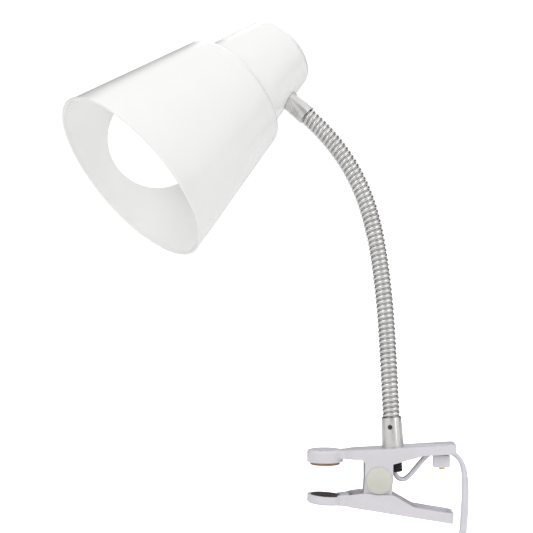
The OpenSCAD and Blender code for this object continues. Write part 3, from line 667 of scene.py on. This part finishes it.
class LAMP_OT_stage(bpy.types.Operator):
    """Sets the camera, the pale floor and the soft lights"""
    bl_idname = "lamp.stage"
    bl_label = "Stage and camera"

    def execute(self, context):
        self.camera(context.scene)
        self.floor()
        self.room(context.scene)
        self.lights()
        return {"FINISHED"}

    def camera(self, scene):
        """The camera, a metre in front of the hose's foot and nearly level."""
        settle()
        bpy.ops.object.camera_add(location=(-0.0354, -0.99655, 0.14476), rotation=(math.radians(88.5), 0, 0))
        camera = bpy.context.object
        camera.name = "camera"
        camera.data.lens = 112.57
        camera.data.sensor_width = 36.0
        scene.camera = camera

    def floor(self):
        """The pale floor, which fades into the white of the room away from the lamp."""
        bpy.ops.mesh.primitive_plane_add(size=60.0, location=(0, 0, FLOOR_Z * MM))
        floor = bpy.context.object
        floor.name = "floor"
        settle_mesh(floor, None, 60.0)
        material = bpy.data.materials.new("pale_floor")
        material.use_nodes = True
        tree = material.node_tree
        shader = tree.nodes["Principled BSDF"]
        coordinates = tree.nodes.new("ShaderNodeTexCoord")
        cloud = noise(tree, coordinates.outputs["Object"], 6.0, 3.0)
        tone = mixed(tree, cloud, (0.93, 0.93, 0.93), (0.90, 0.90, 0.90))
        tree.links.new(tone, shader.inputs["Base Color"])
        give(shader, {"Roughness": 0.85, "Specular IOR Level": 0.1, "Emission Color": WHITE})
        middle = tree.nodes.new("ShaderNodeVectorMath")
        middle.operation = "LENGTH"
        tree.links.new(coordinates.outputs["Object"], middle.inputs[0])
        far = smooth_range(tree, middle.outputs["Value"], 0.14, 0.5)
        seen = tree.nodes.new("ShaderNodeLightPath")
        glow = maths(tree, "ADD", maths(tree, "MULTIPLY", far, 0.8), 0.2)
        glow = maths(tree, "MULTIPLY", glow, seen.outputs["Is Camera Ray"])
        tree.links.new(glow, shader.inputs["Emission Strength"])
        floor.data.materials.append(material)

    def room(self, scene):
        """White to look at. It lights the lamp from both sides of a gap in front, and from above."""
        world = bpy.data.worlds.new("studio")
        world.use_nodes = True
        tree = world.node_tree
        room = tree.nodes["Background"]
        room.inputs["Color"].default_value = WHITE
        way = tree.nodes.new("ShaderNodeSeparateXYZ")
        tree.links.new(tree.nodes.new("ShaderNodeTexCoord").outputs["Generated"], way.inputs[0])
        across = maths(tree, "MULTIPLY", way.outputs["X"], way.outputs["X"])
        deep = maths(tree, "MULTIPLY", way.outputs["Y"], way.outputs["Y"])
        level = maths(tree, "SQRT", maths(tree, "ADD", across, deep))
        facing = maths(tree, "DIVIDE", maths(tree, "MULTIPLY", way.outputs["Y"], -1.0), level)
        front = smooth_range(tree, facing, -0.1, 0.1)
        gap = smooth_range(tree, facing, 0.97, 0.9)
        top = smooth_range(tree, way.outputs["Z"], 0.5, 0.8)
        gap = maths(tree, "ADD", maths(tree, "MULTIPLY", gap, 0.55), 0.45)
        boxes = maths(tree, "MAXIMUM", maths(tree, "MULTIPLY", front, gap), top)
        glow = maths(tree, "ADD", maths(tree, "MULTIPLY", boxes, 0.9), 0.12)
        tree.links.new(glow, room.inputs["Strength"])
        backdrop = tree.nodes.new("ShaderNodeBackground")
        give(backdrop, {"Color": WHITE, "Strength": 1.05})
        seen = tree.nodes.new("ShaderNodeLightPath")
        both = tree.nodes.new("ShaderNodeMixShader")
        tree.links.new(seen.outputs["Is Camera Ray"], both.inputs[0])
        tree.links.new(room.outputs[0], both.inputs[1])
        tree.links.new(backdrop.outputs[0], both.inputs[2])
        tree.links.new(both.outputs[0], tree.nodes["World Output"].inputs["Surface"])
        scene.world = world
        scene.view_settings.view_transform = "Standard"

    def lights(self):
        """Three soft lights, each with its place, width and height in metres and its power in watts."""
        rows = (("key", (-1.2, -1.2, 1.2), 0.6, 1.6, 4.0), ("fill", (1.2, -1.3, 0.8), 0.6, 1.6, 3.0),
                ("back", (0.3, 1.6, 1.3), 1.4, 1.0, 6.0))
        for name, place, wide, tall, power in rows:
            aim = (Vector((-0.03, 0, 0.1)) - Vector(place)).to_track_quat("-Z", "Y").to_euler()
            bpy.ops.object.light_add(type="AREA", location=place, rotation=aim)
            light = bpy.context.object
            light.name = name
            light.data.shape = "RECTANGLE"
            light.data.size = wide
            light.data.size_y = tall
            light.data.energy = power


class LAMP_OT_cord(bpy.types.Operator):
    """Lays the mains cord through the switch to its coil and plug, and loops the lead into the nipple"""
    bl_idname = "lamp.cord"
    bl_label = "Cord and lead"

    def execute(self, context):
        sizes = context.scene.lamp_sizes
        section = twin_section(sizes.cord_width, sizes.cord_thickness)
        down = smooth_line(CORD_DOWN + [((30, 0, -92), 0)], 1.6)
        rest = smooth_line([((30, 0, -92), 90)] + CORD_TAIL + self.coil() + CORD_END, 1.6)
        line = down[:-1] + rest
        cord = swept("mains_cord", line, flat_sides(line, len(down) - 1), section)
        fit(cord, "cord_pvc", "clip", "cord_main", "cord_tail", "cord_coil", "cord_end")
        relief = self.relief(line[-12:])
        loop = smooth_line([(p, 0) for p in LEAD_ROUTE], 0.8)
        lead = swept("lead_loop", loop, flat_sides(loop, len(loop)), section)
        fit(lead, "cord_pvc", "clip", "inner_lead")
        return {"FINISHED"}

    def coil(self):
        """Stations round the coil: each turn crosses to the next column and level in its last part."""
        stations = []
        steps, crossing = 36, 7
        for turn, (column, level) in enumerate(COIL_TURNS):
            last = turn == len(COIL_TURNS) - 1
            next_column, next_level = (column, level) if last else COIL_TURNS[turn + 1]
            for i in range(steps // 4 if last else steps):
                share = max(0.0, (i + crossing - steps) / crossing)
                share = share * share * (3 - 2 * share)
                radius = COIL_COLUMNS[column] * (1 - share) + COIL_COLUMNS[next_column] * share
                height = COIL_LEVELS[level] * (1 - share) + COIL_LEVELS[next_level] * share
                angle = 2 * math.pi * (turn + i / steps) - math.pi / 2
                stations.append(((COIL_CENTRE[0] + radius * math.cos(angle),
                                  COIL_CENTRE[1] + radius * math.sin(angle), height), 0))
        return stations

    def relief(self, line):
        """The tapered, ribbed sleeve on the cord where it goes into the plug."""
        corners = [2 * math.pi * j / 24 for j in range(24)]
        section = [(math.cos(corner), math.sin(corner)) for corner in corners]
        steps = [0.0] + [(b[0] - a[0]).length for a, b in zip(line, line[1:])]
        radii = [(2.75 + 1.35 * sum(steps[:i + 1]) / sum(steps) + (0.35 if i % 2 else 0.0)) * MM
                 for i in range(len(line))]
        sides = []
        up = Vector((0, 0, 1))
        for i in range(len(line)):
            wide = up.cross(line[min(i + 1, len(line) - 1)][0] - line[max(i - 1, 0)][0]).normalized()
            sides.append((wide, wide.cross(up)))
        return fit(swept("plug_relief", line, sides, section, radii), "white_plastic", "clip")


class LAMP_OT_clip(bpy.types.Operator):
    """Models the two jaws, their pads, the cord clamp and the pivot caps"""
    bl_idname = "lamp.clip"
    bl_label = "Clip"

    def execute(self, context):
        edge = context.scene.lamp_sizes.jaw_edge
        fit(rounded_copy("upper_jaw", "upper_jaw_shell", edge), "clip_plastic", "clip", "upper_jaw")
        fit(rounded_copy("lower_jaw", "lower_jaw_shell", edge), "clip_plastic", "lower_jaw", "lower_jaw")
        fit(rounded_copy("clamp_block", "cord_clamp", 0.5 * MM), "clip_plastic", "clip", "clamp_block")
        self.pads()
        self.caps()
        return {"FINISHED"}

    def pads(self):
        """The two rubber pads, each with three shallow rings in its gripping face."""
        face = [(0.05, 0.0)]
        for r in PAD_RINGS:
            face += [(r, 0.0), (r + 0.3, 0.3), (r + 0.7, 0.3), (r + 1.0, 0.0)]
        face += [(PAD_R - 0.6, 0.0), (PAD_R - 0.25, 0.12), (PAD_R - 0.08, 0.35), (PAD_R, 0.7)]
        upper = turned("upper_pad_ringed", face + [(PAD_R, UPPER_PAD_TOP), (0.05, UPPER_PAD_TOP)], 72,
                       Matrix.Translation(UPPER_PAD * MM))
        fit(upper, "tan_rubber", "clip", "upper_pad")
        face = [(r, LOWER_PAD.z - z) for r, z in face]
        lower = turned("lower_pad_ringed", face + [(PAD_R, LOWER_PAD_SEAT), (0.05, LOWER_PAD_SEAT)], 72,
                       lower_frame() @ Matrix.Translation((LOWER_PAD.x * MM, 0, 0)))
        fit(lower, "dark_rubber", "lower_jaw", "lower_pad")

    def caps(self):
        """The two domed caps on the pivot pin."""
        height, sphere = 3.2, 16.0
        dome = [(7.9, 0.02), (7.9, 0.7), (7.84, 0.98), (7.66, 1.22), (7.36, 1.42)]
        for i in range(1, 10):
            radius = 7.0 * (1 - i / 10.0) + 0.05
            dome.append((radius, height - sphere + math.sqrt(sphere ** 2 - radius ** 2)))
        dome += [(0.05, height), (0.05, 1.5), (2.0, 1.5), (2.0, 0.02), (7.9, 0.02)]
        for name, way in (("pivot_cap_front", -1), ("pivot_cap_rear", 1)):
            place = (Matrix.Translation((PIVOT + Vector((0, way * HALF_WIDTH, 0))) * MM)
                     @ Matrix.Rotation(math.radians(-90 * way), 4, "X"))
            fit(turned(name, dome, 72, place), "cream_plastic", "clip", "pivot_caps")


class LAMP_OT_spring(bpy.types.Operator):
    """Winds the torsion spring round the pivot, with its two straight legs"""
    bl_idname = "lamp.spring"
    bl_label = "Jaw spring"

    def execute(self, context):
        a, b = (math.radians(turn) for turn in SPRING_TURNS)
        coil = []
        steps = 150
        for i in range(steps + 1):
            angle = a + (b - a) * i / steps
            coil.append(PIVOT + Vector((SPRING_COIL_R * math.cos(angle), SPRING_HALF * (1 - 2 * i / steps),
                                        SPRING_COIL_R * math.sin(angle))))
        up = coil[0] + SPRING_LEGS[0] * Vector((math.sin(a), 0, -math.cos(a)))
        down = coil[-1] + SPRING_LEGS[1] * Vector((-math.sin(b), 0, math.cos(b)))
        spring = wire("torsion_spring", [up] + coil + [down], SPRING_WIRE_R * MM)
        fit(spring, "spring_steel", None, "jaw_spring")
        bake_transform(spring)
        return {"FINISHED"}


class LAMP_OT_hose(bpy.types.Operator):
    """Winds the ridged steel hose, cuts it at the middle of each length and bends it along the hose's line"""
    bl_idname = "lamp.hose"
    bl_label = "Gooseneck hose"

    def execute(self, context):
        line = hose_line()
        guide = curve_along("hose_guide", line)
        guide.data.twist_mode = "MINIMUM"
        stock = self.ridged_stock(context.scene.lamp_sizes)
        cuts = ([-HOSE_IN_FERRULE] + [HOSE_LENGTH * (k + 0.5) for k in range(8)]
                + [HOSE_LENGTH * 8 + HOSE_TAIL])
        for k in range(9):
            low, high = cuts[k], cuts[k + 1]
            hose = self.cut_length(stock, f"hose_ridges_{k + 1}", low, high, guide)
            heights = [low + HOSE_LEAD_IN + (high - low) * i / 10 for i in range(11)]
            lead = turned(f"hose_lead_{k + 1}", [(LEAD_R, height) for height in heights], 20)
            apply_modifier(lead, "CURVE", object=guide, deform_axis="POS_Z")
            settle_mesh(lead, None, 60.0)
            links = [n for n in (k, k + 1) if 1 <= n <= 8]
            for piece, kind, slot in ((hose, "link", "satin_nickel"), (lead, "lead", "cord_pvc")):
                fit(piece, slot, None, *[f"neck_{kind}_{n}" for n in links])
                if k == 0:
                    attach(piece, "clip")
                else:
                    self.point(line, low) * MM
                    self.point(line, high) * MM
                    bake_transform(piece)
            hose.data.materials[0] = finish("hose_nickel")
        for spare in (stock, guide):
            take(spare)
            bpy.ops.object.delete()
        return {"FINISHED"}

    def point(self, line, distance):
        """The point on the line at a distance from the foot joint."""
        done = -HOSE_LEAD_IN
        for a, b in zip(line, line[1:]):
            gap = (b - a).length
            if done + gap >= distance:
                return a.lerp(b, (distance - done) / gap)
            done += gap
        return line[-1]

    def ridged_stock(self, sizes):
        """Straight hose stock: a broad and a narrow ridge, screwed up about Z."""
        pitch = sizes.ridge_pitch / MM
        top = sizes.ridge_radius / MM
        shape = [(0.0, -0.72), (0.035, -0.42), (0.10, -0.2), (0.22, -0.05), (0.38, 0.0), (0.54, -0.05),
                 (0.66, -0.2), (0.725, -0.42), (0.76, -0.72), (0.81, -0.5), (0.88, -0.42), (0.95, -0.5),
                 (1.0, -0.72)]
        points = [Vector(((top + depth) * MM, 0, (share - 3) * pitch * MM)) for share, depth in shape]
        settle()
        bpy.ops.mesh.primitive_plane_add(size=0.001)
        stock = bpy.context.object
        stock.name = "hose_stock"
        edit_all(stock)
        bpy.ops.mesh.merge(type="CENTER")
        bpy.ops.transform.translate(value=points[0])
        for a, b in zip(points, points[1:]):
            bpy.ops.mesh.extrude_region_move(TRANSFORM_OT_translate={"value": b - a})
        bpy.ops.object.mode_set(mode="OBJECT")
        turns = math.ceil((HOSE_LENGTH * 8 + 24) / pitch) + 4
        apply_modifier(stock, "SCREW", axis="Z", angle=2 * math.pi, screw_offset=pitch * MM,
                       iterations=turns, steps=40, render_steps=40, use_merge_vertices=True,
                       merge_threshold=1e-6)
        edit_all(stock)
        bpy.ops.mesh.remove_doubles(threshold=2e-6)
        bpy.ops.mesh.normals_make_consistent(inside=False)
        bpy.ops.object.mode_set(mode="OBJECT")
        return stock

    def cut_length(self, stock, name, low, high, guide):
        """One length of the stock, cut square, with a wall, and bent along the guide."""
        piece = new_object(name, stock.data.copy())
        edit_all(piece)
        for height, way in ((low, -1), (high, 1)):
            bpy.ops.mesh.select_all(action="SELECT")
            bpy.ops.mesh.bisect(plane_co=(0, 0, (height + HOSE_LEAD_IN) * MM), plane_no=(0, 0, way),
                                clear_outer=True)
        bpy.ops.object.mode_set(mode="OBJECT")
        apply_modifier(piece, "SOLIDIFY", thickness=HOSE_WALL * MM, offset=-1.0)
        apply_modifier(piece, "CURVE", object=guide, deform_axis="POS_Z")
        return settle_mesh(piece, None, 70.0)


class LAMP_OT_ferrules(bpy.types.Operator):
    """Rounds the ferrules, the nuts and the washers, and turns the threaded nipple"""
    bl_idname = "lamp.ferrules"
    bl_label = "Ferrules and nipples"

    def execute(self, context):
        rounded_rows("turned", ("lower_ferrule", 0.3, "satin_nickel", "clip"),
                     ("upper_ferrule", 0.3, "satin_nickel", "head"),
                     ("base_nut", 0.3, "bright_steel", "clip"), ("base_washer", 0.15, "bright_steel", "clip"),
                     ("head_nut", 0.3, "bright_steel", "head"), ("head_washer", 0.15, "bright_steel", "head"))
        self.nipple()
        return {"FINISHED"}

    def nipple(self):
        """The threaded nipple under the upper jaw, with rings of thread on its lower end."""
        low, high, bore, crest, root = -14.7, 8.0, 3.0, 4.98, 4.55
        profile = [(bore, low), (root + 0.05, low)]
        for turn in range(9):
            profile += [(crest, low + 0.55 + turn), (root, low + 1.05 + turn)]
        profile += [(crest, -5.8), (crest, high), (bore, high), (bore, low)]
        lean = math.radians(HOSE_LEAN)
        place = Matrix.Translation(HOSE_FOOT * MM) @ Matrix.Rotation(-lean, 4, "Y")
        fit(turned("base_nipple_threaded", profile, 48, place), "dark_steel", "clip", "base_nipple")


class LAMP_OT_shade(bpy.types.Operator):
    """Turns the shade with its rolled lip, and the rear cup"""
    bl_idname = "lamp.shade"
    bl_label = "Shade and rear cup"

    def execute(self, context):
        sizes = context.scene.lamp_sizes
        lip = sizes.lip / MM
        outer = rounded_corner(MOUTH_R, 0, SHADE_TAPER, SHADE_LENGTH, SHADE_CORNER, 0)
        inner = rounded_corner(MOUTH_R, 0, SHADE_TAPER, SHADE_LENGTH, SHADE_CORNER, WALL)
        lean = math.atan(SHADE_TAPER)
        lip_r = MOUTH_R - lip + 0.12
        bead = [(lip_r + lip * math.cos(a), lip + lip * math.sin(a))
                for a in [math.radians(d) for d in range(-195, 16, 15)]]
        sides_out = [(MOUTH_R - SHADE_TAPER * z, z) for z in (3.0, 16, 30, 44, 58, 72)]
        sides_in = [(MOUTH_R - SHADE_TAPER * z - WALL / math.cos(lean), z)
                    for z in (72, 58, 44, 30, 16, 3.4)]
        under = SHADE_LENGTH - WALL
        back = [(27.0, SHADE_LENGTH), (HOLDER_HOLE_R, SHADE_LENGTH, -HOLDER_OFFSET),
                (HOLDER_HOLE_R, under, -HOLDER_OFFSET), (27.0, under)]
        profile = bead + sides_out + outer + back + inner[::-1] + sides_in + bead[:1]
        shade = turned("shade_enamelled", profile, sizes.facets, head_frame(), 40.0)
        fit(shade, "white_enamel", "head", "shade")
        base = SHADE_LENGTH + 0.1
        outer = rounded_corner(CUP_R, base, CUP_TAPER, HEAD_LENGTH, CUP_CORNER, 0, 10)
        inner = rounded_corner(CUP_R, base, CUP_TAPER, HEAD_LENGTH, CUP_CORNER, WALL, 10)
        foot = [(CUP_R - WALL, base), (CUP_R - 0.45, base), (CUP_R - 0.13, base + 0.13),
                (CUP_R - 0.1, base + 0.45), (CUP_R - 0.1 - CUP_TAPER * 12, base + 12)]
        under = HEAD_LENGTH - WALL
        end = [(12, HEAD_LENGTH), (0.05, HEAD_LENGTH), (0.05, under), (12, under)]
        inside = [(CUP_R - WALL - CUP_TAPER * 12, base + 12), (CUP_R - WALL, base)]
        profile = foot + outer + end + inner[::-1] + inside
        cup = turned("rear_cup_enamelled", profile, sizes.facets, head_frame(), 40.0)
        fit(cup, "white_enamel", "head", "rear_cup")
        return {"FINISHED"}


class LAMP_OT_bulb(bpy.types.Operator):
    """Turns the bulb's opal globe"""
    bl_idname = "lamp.bulb"
    bl_label = "Bulb"

    def execute(self, context):
        outer = []
        inner = []
        first, last, steps = -89.9, 33.0, 24
        for i in range(steps + 1):
            angle = math.radians(first + (last - first) * i / steps)
            for skin, radius in ((outer, GLOBE_R), (inner, GLOBE_R - 1)):
                skin.append((max(0.05, radius * math.cos(angle)), GLOBE_CENTRE + radius * math.sin(angle)))
        profile = outer + [(24.2, 49.0), (24.0, 50.0), (23.0, 50.0), (23.2, 49.0)] + inner[::-1]
        globe = turned("globe_opal", profile, 96, head_frame(HOLDER_OFFSET), 50.0)
        fit(globe, "opal_globe", "bulb", "bulb_globe")
        return {"FINISHED"}


class LAMP_OT_holder(bpy.types.Operator):
    """Rounds the lampholder, its ring and the bulb's housing"""
    bl_idname = "lamp.holder"
    bl_label = "Lampholder"

    def execute(self, context):
        rounded_rows("moulded", ("lampholder_body", 0.4, "holder_plastic", "head"),
                     ("retaining_ring", 0.4, "holder_plastic", "head"),
                     ("bulb_housing", 0.3, "white_plastic", "bulb"))
        return {"FINISHED"}


class LAMP_OT_switch(bpy.types.Operator):
    """Rounds the in-line switch, the plug and the coil's tie"""
    bl_idname = "lamp.switch"
    bl_label = "Switch and plug"

    def execute(self, context):
        rounded_rows("moulded", ("switch_base", 0.8, "white_plastic", "clip"),
                     ("switch_cover", 0.7, "white_plastic", "clip"),
                     ("switch_rocker", 0.6, "white_plastic", "rocker"),
                     ("plug_body", 0.9, "white_plastic", "clip"),
                     ("cord_tie", 0.3, "contact_black", "clip"))
        self.sleeves()
        return {"FINISHED"}

    def sleeves(self):
        """The two short sleeves on the cord at the switch's ends."""
        bore = 2.62
        profile = [(bore, 7.0), (3.3, 7.0), (3.6, 6.7), (3.6, 5.6), (3.3, 5.3), (3.3, 4.7), (3.8, 4.4),
                   (3.8, 3.2), (3.5, 2.9), (3.5, 2.3), (4.2, 2.0), (4.3, 0.0), (bore, 0.0), (bore, 3.5)]
        for name, x, way in SWITCH_ENDS:
            place = (Matrix.Translation(Vector((x, 0, -92)) * MM)
                     @ Matrix.Rotation(math.radians(90 * way), 4, "Y"))
            fit(turned(name, profile, 32, place), "white_plastic", "clip")


class LAMP_OT_finishes(bpy.types.Operator):
    """Gives every CAD part that still shows the finish of its slot"""
    bl_idname = "lamp.finishes"
    bl_label = "Finishes of the other parts"

    def execute(self, context):
        slots = {row["node"]: row["material_slot"] for row in frame["record"]["subparts"]}
        for name, part in frame["nodes"].items():
            if part.hide_render:
                continue
            part.data.materials.clear()
            part.data.materials.append(finish(slots[name]))
        return {"FINISHED"}


class LAMP_PT_sidebar(bpy.types.Panel):
    """The lamp's pieces, sizes and colours"""
    bl_idname = "LAMP_PT_sidebar"
    bl_label = "Reading lamp"
    bl_space_type = "VIEW_3D"
    bl_region_type = "UI"
    bl_category = "Lamp"

    def draw(self, context):
        for group in (context.scene.lamp_sizes, context.scene.lamp_colours):
            for key in group.bl_rna.properties.keys():
                if key not in ("rna_type", "name"):
                    self.layout.prop(group, key)
        for operator in OPERATORS:
            self.layout.operator(operator.bl_idname)


OPERATORS = (LAMP_OT_stage, LAMP_OT_switch, LAMP_OT_cord, LAMP_OT_clip, LAMP_OT_spring, LAMP_OT_hose,
             LAMP_OT_ferrules, LAMP_OT_shade, LAMP_OT_holder, LAMP_OT_bulb, LAMP_OT_finishes)
CLASSES = (LampSizes, LampColours, *OPERATORS, LAMP_PT_sidebar)


def register():
    for kind in CLASSES:
        bpy.utils.register_class(kind)
    bpy.types.Scene.lamp_sizes = PointerProperty(type=LampSizes)
    bpy.types.Scene.lamp_colours = PointerProperty(type=LampColours)


def unregister():
    del bpy.types.Scene.lamp_colours
    del bpy.types.Scene.lamp_sizes
    for kind in reversed(CLASSES):
        bpy.utils.unregister_class(kind)


def main():
    register()
    bpy.ops.lamp.stage()
    bpy.ops.lamp.switch()
    bpy.ops.lamp.cord()
    bpy.ops.lamp.clip()
    bpy.ops.lamp.spring()
    bpy.ops.lamp.hose()
    bpy.ops.lamp.ferrules()
    bpy.ops.lamp.shade()
    bpy.ops.lamp.holder()
    bpy.ops.lamp.bulb()
    bpy.ops.lamp.finishes()


if __name__ == "__main__":
    main()
